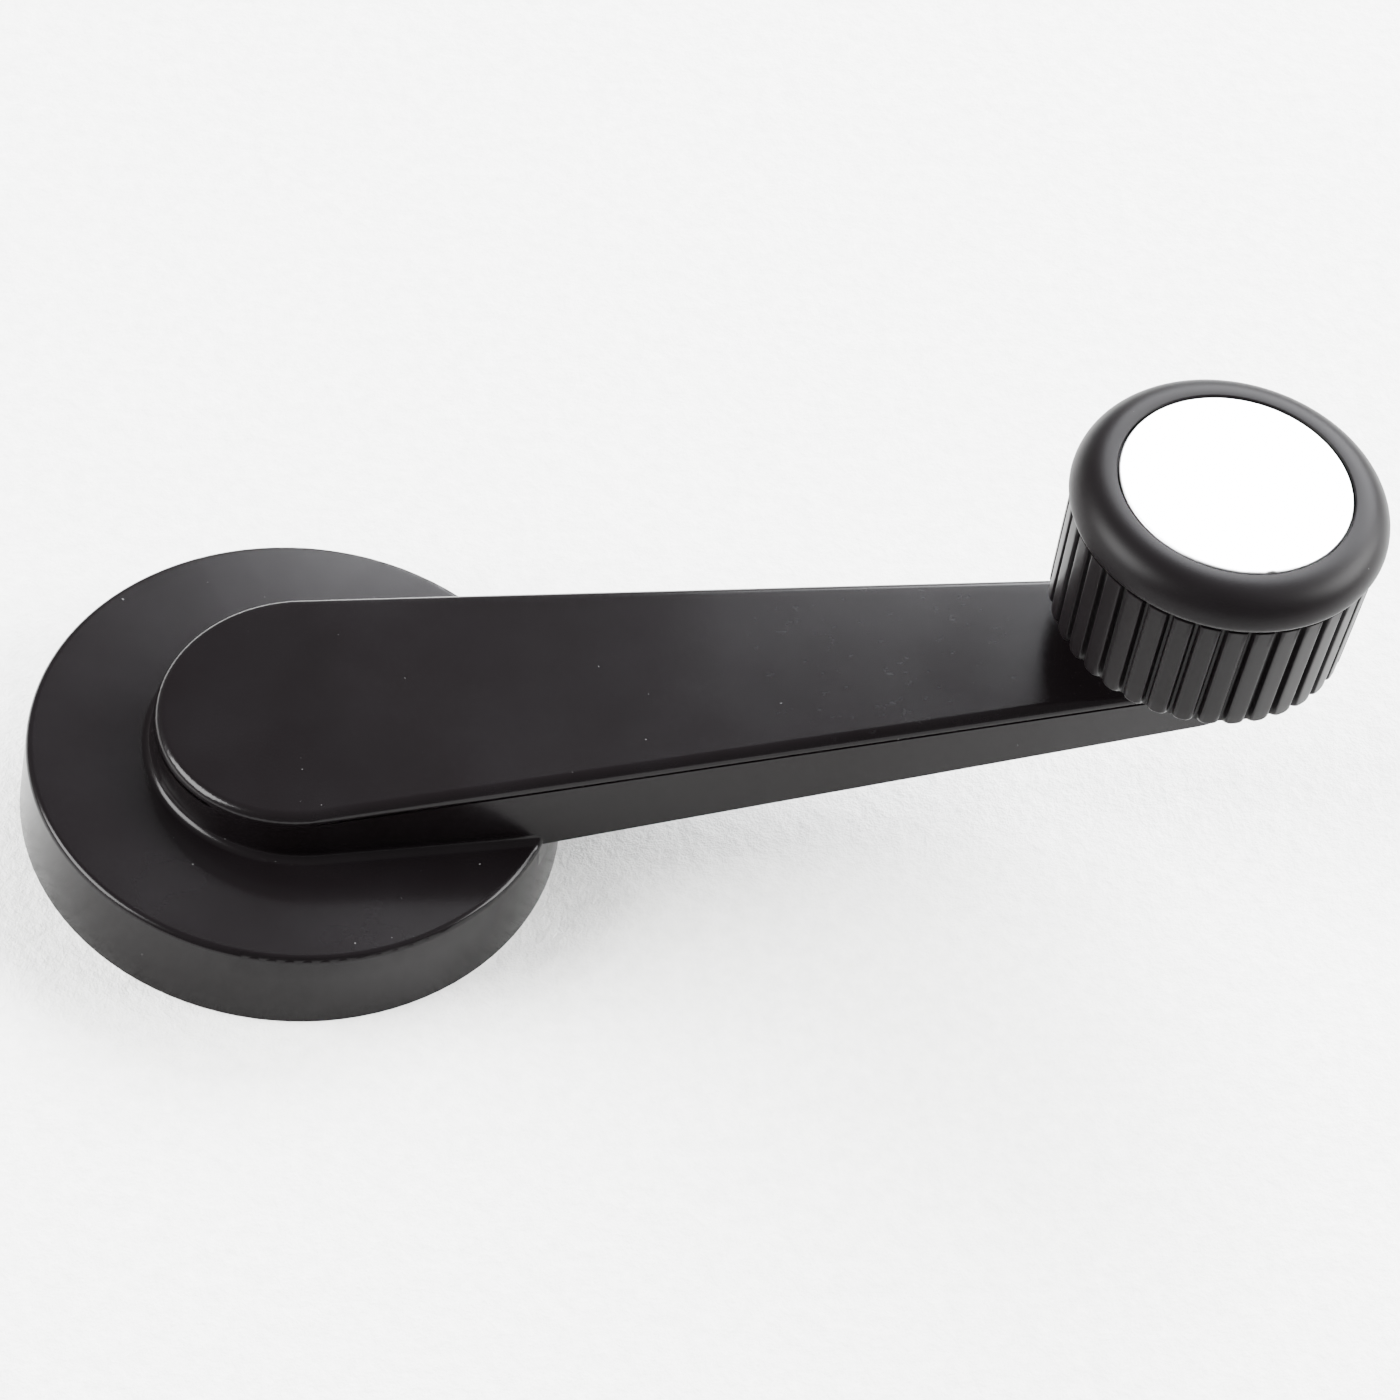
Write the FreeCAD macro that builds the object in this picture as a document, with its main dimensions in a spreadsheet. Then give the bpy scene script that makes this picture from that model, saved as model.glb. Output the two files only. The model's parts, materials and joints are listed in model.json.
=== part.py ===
import FreeCAD, Part
import math
import os
import re

import Sketcher

# Winder crank for a car's side window, in millimetres.
# The origin is the spindle's axis where it meets the door panel, +Z points away from the
# door, and the arm lies along +X. Every driving size is a cell of the sheet "Dims".

DIMENSIONS = (
    ("base_radius", 30.0, "disc radius at its top edge"),
    ("base_height", 10.4, "door panel to the disc's top"),
    ("base_flare", 0.6, "how much wider the skirt is at its foot"),
    ("base_wall", 2.2, "skirt wall"),
    ("base_plate", 2.2, "disc plate"),
    ("base_round", 0.8, "rounding of the disc's top edge"),
    ("boss_wall", 3.3, "wall of the moulded boss round the strap's end"),
    ("boss_rise", 1.5, "door panel to the boss and ribs"),
    ("rib_thick", 1.4, "stiffening ribs under the disc"),
    ("rib_count", 12, "stiffening ribs under the disc"),
    ("rib_bite", 0.8, "how far a rib runs into what it joins"),
    ("arm_length", 100.0, "spindle axis to grip axis"),
    ("arm_step", 6.9, "disc's top up to the arm's top face, at the spindle axis"),
    ("arm_rise", 10.3, "how much the arm's top face climbs from axis to axis"),
    ("arm_bury", 0.135, "disc's top down to the arm's underside, at the disc's edge"),
    ("arm_deep", 6.8, "arm's depth at the grip axis"),
    ("arm_hub_half", 16.0, "arm's round end over the spindle"),
    ("arm_end_half", 8.5, "arm's round end under the grip"),
    ("arm_draft", 2.0, "degrees that the arm's walls widen downwards"),
    ("arm_wall", 2.2, "arm's outer wall"),
    ("arm_floor", 2.0, "arm's floor under its cored pockets"),
    ("arm_foot", 1.1, "hollow rounding where the arm meets the disc"),
    ("cover_thick", 1.5, "cover plate"),
    ("cover_round", 1.2, "rounding of the cover's top edge"),
    ("cover_inset", 0.08, "cover's edge inside the arm's wall"),
    ("strap_thick", 1.8, "steel strap"),
    ("strap_half", 5.0, "half the strap's width"),
    ("strap_drop", 1.0, "disc's top down to the strap's underside"),
    ("strap_roof", 0.26, "gap between the strap's upper bend and the cover"),
    ("strap_bend_hub", 13.0, "spindle axis to the strap's first bend"),
    ("strap_bend_end", 12.0, "grip axis back to the strap's second bend"),
    ("strap_ledge", 1.5, "strap's round end past the drive hub's flange"),
    ("strap_play", 0.2, "gap between the strap and the moulding"),
    ("web_thick", 1.4, "web between the strap's slot and a cored pocket"),
    ("core_start", 16.0, "spindle axis to the cored pockets"),
    ("core_back", 36.0, "grip axis back to the cored pockets' far end"),
    ("hook_ahead", 26.0, "spindle axis to the first pair of hooks"),
    ("hook_back", 46.0, "grip axis back to the second pair of hooks"),
    ("hook_long", 4.0, "hook length along the arm"),
    ("hook_thick", 1.0, "hook leg"),
    ("hook_deep", 3.6, "hook depth under the cover plate"),
    ("hook_bite", 0.6, "how far a hook's barb stands out"),
    ("hook_play", 0.15, "gap round a hook"),
    ("spindle_radius", 5.3, "round bore that centres the spindle"),
    ("spindle_depth", 4.0, "length of that round bore"),
    ("tooth_step", 0.7, "toothed bore inside the round bore's wall"),
    ("tooth_high", 0.5, "tooth height"),
    ("tooth_half", 0.4, "half a tooth gap's width"),
    ("tooth_depth", 4.4, "length of the toothed bore"),
    ("tooth_count", 24, "teeth round the bore"),
    ("hub_wall", 2.2, "drive hub's wall round the spindle bore"),
    ("hub_ledge", 1.5, "drive hub's flange past its body"),
    ("hub_flange_thick", 3.0, "drive hub's flange"),
    ("hub_shoulder", 1.0, "drive hub's neck inside its body"),
    ("screw_radius", 2.5, "handle screw's shank"),
    ("screw_play", 0.15, "gap between a screw's shank and its hole"),
    ("screw_length", 8.0, "handle screw under its head"),
    ("screw_tip", 0.5, "chamfer at the handle screw's tip"),
    ("screw_head", 4.5, "handle screw's head radius"),
    ("screw_head_high", 2.2, "handle screw's head height"),
    ("screw_head_round", 1.3, "rounding of that head"),
    ("recess_arm", 2.1, "cross recess, centre to tip"),
    ("recess_wide", 1.1, "cross recess, slot width"),
    ("recess_deep", 1.3, "cross recess depth"),
    ("washer_edge", 0.7, "flat washer past the screw's head"),
    ("washer_thick", 0.6, "flat washer"),
    ("lock_edge", 0.1, "lock washer past the screw's head"),
    ("lock_thick", 0.9, "lock washer"),
    ("lock_gap", 0.5, "half the lock washer's split"),
    ("pin_back", 16.0, "grip axis back to the core screw"),
    ("pin_radius", 1.5, "core screw's shank"),
    ("pin_short", 0.4, "core screw's tip under the strap's top"),
    ("pin_head", 2.8, "core screw's head radius"),
    ("pin_head_high", 1.6, "core screw's head height"),
    ("pin_chamfer", 0.5, "chamfer on the core screw's head and tip"),
    ("pin_recess_arm", 1.5, "core screw's cross recess, centre to tip"),
    ("pin_recess_wide", 0.7, "core screw's cross recess, slot width"),
    ("pin_recess_deep", 0.8, "core screw's cross recess depth"),
    ("stud_radius", 4.0, "journal that the grip turns on"),
    ("stud_ledge", 2.0, "stud's collar past its journal"),
    ("collar_proud", 1.7, "arm's crest up to the collar's top"),
    ("collar_play", 0.3, "gap between the collar and the cover"),
    ("tenon_step", 1.0, "tenon through the strap, inside the journal"),
    ("rivet_edge", 0.6, "peened end past the tenon"),
    ("rivet_high", 0.5, "peened end's height"),
    ("groove_sink", 0.9, "snap ring groove inside the journal"),
    ("stud_end", 1.4, "stud above the snap ring"),
    ("stud_chamfer", 0.6, "chamfer on the stud's end"),
    ("grip_gap", 0.8, "collar's top up to the grip's lower edge"),
    ("grip_tall", 21.0, "grip height"),
    ("grip_rim", 17.85, "grip radius at its rim"),
    ("rim_round", 3.8, "rounding of the rim's top"),
    ("rim_land", 0.85, "flat band between that rounding and the disc"),
    ("rim_tuck", 1.1, "height of the rim's rounded underside"),
    ("rim_tuck_round", 2.2, "rounding of the rim's underside"),
    ("rim_proud", 0.5, "rim past the ribbed skirt"),
    ("skirt_taper", 0.45, "how much narrower the skirt is at its foot"),
    ("grip_wall", 2.4, "grip's outer wall"),
    ("grip_plate", 2.2, "grip's top plate"),
    ("grip_boss_wall", 2.0, "wall of the grip's centre boss"),
    ("well_play", 0.5, "gap round the thrust washer"),
    ("web_count", 6, "radial webs in the grip"),
    ("web_bite", 0.6, "how far a web runs into what it joins"),
    ("groove_count", 36, "finger grooves round the grip"),
    ("groove_wide", 0.85, "finger groove width"),
    ("groove_deep", 0.75, "finger groove depth"),
    ("groove_stop", 0.3, "plain band between the grooves and the rim"),
    ("disc_play", 0.25, "gap round the bright disc"),
    ("disc_thick", 0.6, "bright disc"),
    ("disc_edge", 0.15, "chamfer on the bright disc"),
    ("disc_sunk", 0.05, "bright disc's top under the grip's top"),
    ("pad_thick", 0.2, "adhesive pad"),
    ("pad_margin", 0.9, "pad's edge inside the disc's edge"),
    ("bush_wall", 1.45, "bush wall"),
    ("bush_length", 11.0, "bush above its flange"),
    ("bush_ledge", 1.7, "bush's flange past its body"),
    ("bush_flange_thick", 1.0, "bush's flange"),
    ("bush_play", 0.05, "running clearance on the journal"),
    ("spring_margin", 0.1, "dished washer's edge inside the collar's"),
    ("spring_thick", 0.35, "dished washer's sheet"),
    ("spring_rise", 0.45, "dished washer's dish"),
    ("thrust_edge", 2.5, "thrust washer past the journal"),
    ("thrust_thick", 0.8, "thrust washer"),
    ("clip_edge", 2.0, "snap ring past the journal"),
    ("clip_thick", 0.8, "snap ring"),
    ("clip_gap", 2.2, "half the snap ring's opening"),
    ("end_play", 0.1, "axial gap between turning faces"),
    ("overrun", 10.0, "how far a cut runs past the face it opens"),
)
FUNCTIONS = ("sqrt", "tan", "atan")
SIDES = ("", "0 - ")  # puts an expression on the +Y or the -Y side
NEAR = 0.01  # mm: heights or radii this close count as equal
LEAST_CUT = 0.001  # mm3 that a pocket has to take away

doc = FreeCAD.newDocument("window_winder_crank")
sheet = doc.addObject("Spreadsheet::Sheet", "Dims")
for row, (alias, value, note) in enumerate(DIMENSIONS, 1):
    sheet.set("A%d" % row, alias)
    sheet.set("B%d" % row, str(value))
    sheet.set("C%d" % row, note)
    sheet.setAlias("B%d" % row, alias)
doc.recompute()


def bound(text):
    """An expression's text with each dimension's name led by the sheet's name."""
    return re.sub(r"[a-z_]+", lambda m: m.group(0) if m.group(0) in FUNCTIONS else "Dims." + m.group(0), text)


def size(text):
    """The present value of an expression, as a plain number."""
    value = sheet.evalExpression(bound(text))
    return float(getattr(value, "Value", value))


def bind(thing, path, text):
    thing.setExpression(path, bound(text))


# ---- Sizes that several pieces share, as expression texts ----

TOP_HUB = "(base_height + arm_step)"
TOP_END = f"({TOP_HUB} + arm_rise)"
TOP_SLOPE = "(arm_rise / arm_length)"
LOW_EDGE = "(base_height - arm_bury)"
LOW_SLOPE = f"(({TOP_END} - arm_deep - {LOW_EDGE}) / (arm_length - base_radius))"
ARM_REACH = "(arm_length + arm_end_half)"
ARM_CREST = f"({TOP_HUB} + {ARM_REACH} * {TOP_SLOPE})"
HUB_TUCK = f"(({ARM_CREST} - {TOP_HUB}) * tan(arm_draft))"
LEAN = f"((arm_hub_half - {HUB_TUCK} - arm_end_half) / arm_length)"
UPRIGHT = f"sqrt(1 - {LEAN} * {LEAN})"
PLATE_LOW = "(base_height - base_plate)"
ACROSS = "(4 * arm_hub_half)"
BACK_END = "(0 - arm_hub_half - overrun)"
FRONT_END = f"({ARM_REACH} + overrun)"

HUB_RADIUS = "(spindle_radius + hub_wall)"
HUB_FLANGE = f"({HUB_RADIUS} + hub_ledge)"
HUB_NECK = f"({HUB_RADIUS} - hub_shoulder)"
TOOTH_ROOT = "(spindle_radius - tooth_step)"
STRAP_PAD = f"({HUB_FLANGE} + strap_ledge)"
BOSS_RADIUS = f"({STRAP_PAD} + strap_play + boss_wall)"
SCREW_BORE = "(screw_radius + screw_play)"

BEND_END = "(arm_length - strap_bend_end)"
STRAP_LOW = "(base_height - strap_drop)"
STRAP_TOP = f"({STRAP_LOW} + strap_thick)"
STRAP_END_TOP = f"({TOP_HUB} + {BEND_END} * {TOP_SLOPE} - cover_thick - strap_roof)"
STRAP_HIGH = f"({STRAP_END_TOP} - strap_thick)"
STRAP_SLOPE = f"(({STRAP_HIGH} - {STRAP_LOW}) / ({BEND_END} - strap_bend_hub))"
SLOT_HALF = "(strap_half + strap_play)"
WEB_SIDE = f"({SLOT_HALF} + web_thick)"
HOOK_PLACES = {"hooks_near": "hook_ahead", "hooks_far": "(arm_length - hook_back)"}
CORE_STOP = "(arm_length - core_back)"
PIN_PLACE = "(arm_length - pin_back)"
LOCK_LOW = f"({STRAP_TOP} + washer_thick)"
SCREW_SEAT = f"({LOCK_LOW} + lock_thick)"

COLLAR_RADIUS = "(stud_radius + stud_ledge)"
COLLAR_TOP = f"({ARM_CREST} + collar_proud)"
TENON_RADIUS = "(stud_radius - tenon_step)"
RIVET_RADIUS = f"({TENON_RADIUS} + rivet_edge)"
GROOVE_RADIUS = "(stud_radius - groove_sink)"
BUSH_BORE = "(stud_radius + bush_play)"
BUSH_RADIUS = f"({BUSH_BORE} + bush_wall)"
BUSH_LOW = f"({COLLAR_TOP} + spring_thick + spring_rise + end_play)"
BUSH_SHOULDER = f"({BUSH_LOW} + bush_flange_thick)"
BUSH_TOP = f"({BUSH_SHOULDER} + bush_length)"
THRUST_RADIUS = "(stud_radius + thrust_edge)"
THRUST_LOW = f"({BUSH_TOP} + end_play)"
CLIP_LOW = f"({THRUST_LOW} + thrust_thick)"
CLIP_TOP = f"({CLIP_LOW} + clip_thick)"

GRIP_LOW = f"({COLLAR_TOP} + grip_gap)"
GRIP_HIGH = f"({GRIP_LOW} + grip_tall)"
GRIP_WAIST = "(grip_rim - rim_proud)"
GRIP_FOOT = f"({GRIP_WAIST} - skirt_taper)"
GRIP_WELL = f"({THRUST_RADIUS} + well_play)"
GRIP_BOSS = f"({GRIP_WELL} + grip_boss_wall)"
RIM_LOW = f"({GRIP_HIGH} - rim_round - rim_tuck)"
DISC_WELL = "(grip_rim - rim_round - rim_land)"
DISC_RADIUS = f"({DISC_WELL} - disc_play)"
DISC_LOW = f"({GRIP_HIGH} - disc_sunk - disc_thick)"
PAD_LOW = f"({DISC_LOW} - pad_thick)"


def top_face(x, down="0"):
    """Height of the arm's sloping top face at x, less a depth."""
    return f"({TOP_HUB} + {x} * {TOP_SLOPE} - ({down}))"


def low_face(x, up="0"):
    """Height of the arm's sloping underside at x, plus a thickness."""
    return f"({LOW_EDGE} + ({x} - base_radius) * {LOW_SLOPE} + ({up}))"


def side_line(x, inset):
    """Half the arm's width at x, along its straight side, less an inset."""
    return f"((arm_hub_half - {inset} - {x} * {LEAN}) / {UPRIGHT})"


# ---- Sketches and features ----


def new_body(label):
    body = doc.addObject("PartDesign::Body", label + "_body")
    body.Label = label
    return body


def new_sketch(body, name, role, offset=None, tilt=None):
    """An empty sketch on one of the body's origin planes, lifted off it and tilted about Y."""
    sketch = body.newObject("Sketcher::SketchObject", f"{body.Label}_{name}")
    plane = next(item for item in body.Origin.OriginFeatures if item.Role == role)
    sketch.AttachmentSupport = [(plane, "")]
    sketch.MapMode = "FlatFace"
    if tilt:
        sketch.AttachmentOffset = FreeCAD.Placement(
            FreeCAD.Vector(), FreeCAD.Rotation(FreeCAD.Vector(0, -1, 0), math.degrees(math.atan(size(tilt)))))
        bind(sketch, "AttachmentOffset.Rotation.Angle", f"atan({tilt})")
    if offset:
        bind(sketch, "AttachmentOffset.Base.z", offset)
    return sketch


def add_outline(sketch, *corners):
    """A closed outline. A corner is (x, y), or (x, y, radius, turn) where an arc leaves it:
    turn is 1 for an anticlockwise arc and -1 for a clockwise one."""
    places = [(size(corner[0]), size(corner[1])) for corner in corners]
    ends = []
    for i, corner in enumerate(corners):
        here = FreeCAD.Vector(*places[i])
        there = FreeCAD.Vector(*places[(i + 1) % len(corners)])
        if len(corner) == 2:
            edge = sketch.addGeometry(Part.LineSegment(here, there))
            ends.append((edge, 1, 2))
            continue
        radius, turn = size(corner[2]), corner[3]
        chord = there - here
        aside = FreeCAD.Vector(-chord.y, chord.x).normalize() * turn
        rise = math.sqrt(max(radius ** 2 - chord.Length ** 2 / 4, 0))
        centre = (here + there) / 2 + aside * rise
        middle = centre - aside * radius
        edge = sketch.addGeometry(Part.Arc(here, middle, there))
        ends.append((edge, 1, 2) if turn > 0 else (edge, 2, 1))
    for i, (edge, first, last) in enumerate(ends):
        following = ends[(i + 1) % len(ends)]
        sketch.addConstraint(Sketcher.Constraint("Coincident", edge, last, following[0], following[1]))
    for (edge, first, last), corner, place in zip(ends, corners, places):
        for kind, text, number in zip(("DistanceX", "DistanceY"), corner, place):
            index = sketch.addConstraint(Sketcher.Constraint(kind, -1, 1, edge, first, number))
            bind(sketch, f"Constraints[{index}]", text)
        if len(corner) == 4:
            index = sketch.addConstraint(Sketcher.Constraint("Radius", edge, size(corner[2])))
            bind(sketch, f"Constraints[{index}]", corner[2])


def add_circle(sketch, radius, x="0", y="0"):
    place = FreeCAD.Vector(size(x), size(y))
    edge = sketch.addGeometry(Part.Circle(place, FreeCAD.Vector(0, 0, 1), size(radius)))
    for kind, text, number in (("DistanceX", x, place.x), ("DistanceY", y, place.y)):
        index = sketch.addConstraint(Sketcher.Constraint(kind, -1, 1, edge, 3, number))
        bind(sketch, f"Constraints[{index}]", text)
    index = sketch.addConstraint(Sketcher.Constraint("Radius", edge, size(radius)))
    bind(sketch, f"Constraints[{index}]", radius)


def feature(body, kind, sketch, **settings):
    made = body.newObject("PartDesign::" + kind, f"{sketch.Name}_{kind.lower()}")
    made.Profile = sketch
    for name, setting in settings.items():
        if isinstance(setting, str) and name not in ("Type", "SideType"):
            bind(made, name, setting)
        else:
            setattr(made, name, setting)
    sketch.Visibility = False
    return made


def revolve(body, name, *corners):
    """A turned solid: the outline gives radius and height, about the Z axis."""
    sketch = new_sketch(body, name, "XZ_Plane")
    add_outline(sketch, *corners)
    return feature(body, "Revolution", sketch, ReferenceAxis=(sketch, ["V_Axis"]), Angle=360.0)


def across_y(body, kind, name, width, *corners):
    """A pad or pocket whose outline is seen along Y, running width/2 each way."""
    sketch = new_sketch(body, name, "XZ_Plane")
    add_outline(sketch, *corners)
    return feature(body, kind, sketch, SideType="Symmetric", Length=width)


def around(body, name, original, count):
    """Copies of a feature about the Z axis."""
    pattern = body.newObject("PartDesign::PolarPattern", f"{body.Label}_{name}")
    pattern.Originals = [original]
    axis = next(item for item in body.Origin.OriginFeatures if item.Role == "Z_Axis")
    pattern.Axis = (axis, [""])
    pattern.Angle = 360.0
    bind(pattern, "Occurrences", count)
    body.Tip = pattern
    return pattern


def round_edges(body, name, base, radius, wanted):
    """A fillet on the edges of base that wanted() picks."""
    doc.recompute()
    names = [f"Edge{i}" for i, edge in enumerate(base.Shape.Edges, 1) if wanted(edge)]
    fillet = body.newObject("PartDesign::Fillet", f"{body.Label}_{name}")
    fillet.Base = (base, names)
    bind(fillet, "Radius", radius)
    return fillet


def arm_outline(sketch, inset):
    """The arm from above at its crest: two round ends and the straight sides that touch both."""
    hub, end = f"(arm_hub_half - {HUB_TUCK} - {inset})", f"(arm_end_half - {inset})"
    add_outline(
        sketch,
        (f"{hub} * {LEAN}", f"{hub} * {UPRIGHT}", hub, 1),
        (f"0 - {hub}", "0", hub, 1),
        (f"{hub} * {LEAN}", f"0 - {hub} * {UPRIGHT}"),
        (f"arm_length + {end} * {LEAN}", f"0 - {end} * {UPRIGHT}", end, 1),
        (f"arm_length + {end}", "0", end, 1),
        (f"arm_length + {end} * {LEAN}", f"{end} * {UPRIGHT}"),
    )


def arm_block(body, inset, foot):
    """The drafted arm as one block, from its crest down to the height foot."""
    sketch = new_sketch(body, "plan", "XY_Plane", offset=ARM_CREST)
    arm_outline(sketch, inset)
    return feature(body, "Pad", sketch, Length=f"{ARM_CREST} - ({foot})", Reversed=True, TaperAngle="arm_draft")


def cut_above(body, name, down):
    """Takes away what stands above the arm's top face less a depth."""
    sky = f"({ARM_CREST} + overrun)"
    return across_y(body, "Pocket", name, ACROSS,
                    (BACK_END, top_face(BACK_END, down)), (FRONT_END, top_face(FRONT_END, down)),
                    (FRONT_END, sky), (BACK_END, sky))


def bore(body, name, radius, low, high, x="0"):
    """A round hole from one height up to another."""
    sketch = new_sketch(body, name, "XY_Plane", offset=low)
    add_circle(sketch, radius, x=x)
    return feature(body, "Pocket", sketch, Length=f"{high} - ({low})", Reversed=True)


def on_plane(edge, height_at):
    """Whether every point of an edge lies at the height that height_at(x) gives."""
    first, last = edge.ParameterRange
    points = [edge.valueAt(first + (last - first) * i / 4) for i in range(5)]
    return all(abs(point.z - height_at(point.x)) < NEAR for point in points)


def strap_path(down, far):
    """The strap's underside seen from the side, from its first flat to x = far, less a depth."""
    return (
        ("strap_bend_hub", f"{STRAP_LOW} - ({down})"),
        (BEND_END, f"{STRAP_HIGH} - ({down})"),
        (far, f"{STRAP_HIGH} - ({down})"),
    )


# ---- Crank body: disc, skirt and the arm's lower moulding ----


def add_disc(body):
    """The disc with its skirt, the boss under it and the stiffening ribs."""
    foot = "(base_radius + base_flare)"
    disc = revolve(
        body, "disc",
        ("0", "boss_rise"),
        (BOSS_RADIUS, "boss_rise"),
        (BOSS_RADIUS, PLATE_LOW),
        ("base_radius - base_wall", PLATE_LOW),
        (f"{foot} - base_wall", "0"),
        (foot, "0"),
        ("base_radius", "base_height"),
        ("0", "base_height"),
    )
    disc_top, disc_rim = size("base_height"), size("base_radius") - NEAR

    def is_foot(edge):
        reaches_in = any(math.hypot(corner.X, corner.Y) < disc_rim for corner in edge.Vertexes)
        return reaches_in and on_plane(edge, lambda x: disc_top)

    def is_rim(edge):
        return not is_foot(edge) and on_plane(edge, lambda x: disc_top)

    foot_fillet = round_edges(body, "foot", disc, "arm_foot", is_foot)
    round_edges(body, "rim", foot_fillet, "base_round", is_rim)
    inner, outer = f"({BOSS_RADIUS} - rib_bite)", f"({foot} - base_wall + rib_bite)"
    ceiling = f"({PLATE_LOW} + rib_bite)"
    rib = across_y(body, "Pad", "rib", "rib_thick",
                   (inner, "boss_rise"), (outer, "boss_rise"), (outer, ceiling), (inner, ceiling))
    around(body, "ribs", rib, "rib_count")


def cut_hub_seat(body):
    """The stepped bore that the drive hub and the strap's round end sit in."""
    bore(body, "hub_bore", HUB_RADIUS, "0 - overrun", STRAP_LOW)
    bore(body, "flange_seat", HUB_FLANGE, f"{STRAP_LOW} - hub_flange_thick", ARM_CREST)
    bore(body, "pad_well", f"{STRAP_PAD} + strap_play", STRAP_LOW, ARM_CREST)


def cut_strap_slot(body):
    """The strap's way along the arm, and the wells for its far end and the stud's peened end."""
    sky = f"({ARM_CREST} + overrun)"
    across_y(body, "Pocket", "strap_slot", f"2 * {SLOT_HALF}",
             ("0", STRAP_LOW), *strap_path("0", "arm_length"), ("arm_length", sky), ("0", sky))
    bore(body, "strap_end", f"{COLLAR_RADIUS} + strap_play", STRAP_HIGH, ARM_CREST, x="arm_length")
    bore(body, "rivet_well", f"{RIVET_RADIUS} + strap_play",
         f"{STRAP_HIGH} - rivet_high - strap_play", STRAP_END_TOP, x="arm_length")


def cut_cores(body):
    """The two cored pockets beside the strap, with notches for the cover's hooks."""
    cores = new_sketch(body, "cores", "XY_Plane", offset=low_face("0", "arm_floor"), tilt=LOW_SLOPE)
    for side in SIDES:
        add_outline(cores, ("core_start", side + WEB_SIDE), (CORE_STOP, side + WEB_SIDE),
                    (CORE_STOP, side + side_line(CORE_STOP, "arm_wall")),
                    ("core_start", side + side_line("core_start", "arm_wall")))
    feature(body, "Pocket", cores, Length=ARM_CREST, Reversed=True)
    back, front = f"({WEB_SIDE} - hook_bite - hook_play)", f"({WEB_SIDE} + hook_play)"
    for name, place in HOOK_PLACES.items():
        notch = new_sketch(body, name, "YZ_Plane", offset=place)
        high = top_face(place, "cover_thick + hook_deep - 2 * hook_bite - hook_play")
        low = top_face(place, "cover_thick + hook_deep + hook_play")
        for side in SIDES:
            add_outline(notch, (side + back, low), (side + front, low),
                        (side + front, high), (side + back, high))
        feature(body, "Pocket", notch, SideType="Symmetric", Length="hook_long + 2 * hook_play")


def make_crank_body():
    body = new_body("crank_body")
    arm_block(body, "0", PLATE_LOW)
    cut_above(body, "seam", "cover_thick")
    across_y(body, "Pocket", "underside", ACROSS,
             (BOSS_RADIUS, "0"), (FRONT_END, "0"),
             (FRONT_END, low_face(FRONT_END)), (BOSS_RADIUS, low_face(BOSS_RADIUS)))
    add_disc(body)
    cut_hub_seat(body)
    cut_strap_slot(body)
    cut_cores(body)
    seat = low_face(PIN_PLACE, "pin_head_high")
    bore(body, "pin_hole", "pin_radius + screw_play", seat, ARM_CREST, x=PIN_PLACE)
    bore(body, "pin_sink", "pin_head + screw_play", "0", seat, x=PIN_PLACE)
    return body


# ---- Arm cover ----


def make_arm_cover():
    body = new_body("arm_cover")
    arm_block(body, "cover_inset", "0")
    cut_above(body, "crown", "0")
    plate = across_y(body, "Pocket", "seam", ACROSS,
                     (BACK_END, "0 - overrun"), (FRONT_END, "0 - overrun"),
                     (FRONT_END, top_face(FRONT_END, "cover_thick")),
                     (BACK_END, top_face(BACK_END, "cover_thick")))
    hub_top, slope = size(TOP_HUB), size(TOP_SLOPE)
    round_edges(body, "edge", plate, "cover_round", lambda edge: on_plane(edge, lambda x: hub_top + x * slope))
    bore(body, "collar_hole", f"{COLLAR_RADIUS} + collar_play",
         STRAP_HIGH, f"{ARM_CREST} + overrun", x="arm_length")
    inner = f"({WEB_SIDE} + hook_play)"
    outer, barb = f"({inner} + hook_thick)", f"({inner} - hook_bite)"
    for name, place in HOOK_PLACES.items():
        legs = new_sketch(body, name, "YZ_Plane", offset=place)
        root = top_face(place, "cover_thick - hook_bite")
        shoulder = top_face(place, "cover_thick + hook_deep - 2 * hook_bite")
        point = top_face(place, "cover_thick + hook_deep - hook_bite")
        low = top_face(place, "cover_thick + hook_deep")
        for side in SIDES:
            add_outline(legs, (side + inner, low), (side + outer, low), (side + outer, root),
                        (side + inner, root), (side + inner, shoulder), (side + barb, point))
        feature(body, "Pad", legs, SideType="Symmetric", Length="hook_long")
    return body


# ---- Drive train: hub, strap, screws and washers ----


def make_drive_hub():
    body = new_body("drive_hub")
    floor = "(spindle_depth + tooth_depth)"
    flange_low = f"{STRAP_LOW} - hub_flange_thick"
    revolve(
        body, "turned",
        ("spindle_radius", "0"),
        (HUB_RADIUS, "0"),
        (HUB_RADIUS, flange_low),
        (HUB_FLANGE, flange_low),
        (HUB_FLANGE, STRAP_LOW),
        (HUB_NECK, STRAP_LOW),
        (HUB_NECK, STRAP_TOP),
        (SCREW_BORE, STRAP_TOP),
        (SCREW_BORE, floor),
        (TOOTH_ROOT, floor),
        (TOOTH_ROOT, "spindle_depth"),
        ("spindle_radius", "spindle_depth"),
    )
    tooth = new_sketch(body, "tooth", "XY_Plane", offset="spindle_depth")
    inside = f"{TOOTH_ROOT} - tooth_half"
    add_outline(tooth, (inside, "0 - tooth_half"), (TOOTH_ROOT, "0 - tooth_half"),
                (f"{TOOTH_ROOT} + tooth_high", "0"), (TOOTH_ROOT, "tooth_half"), (inside, "tooth_half"))
    cut = feature(body, "Pocket", tooth, Length="tooth_depth", Reversed=True)
    around(body, "teeth", cut, "tooth_count")
    return body


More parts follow.
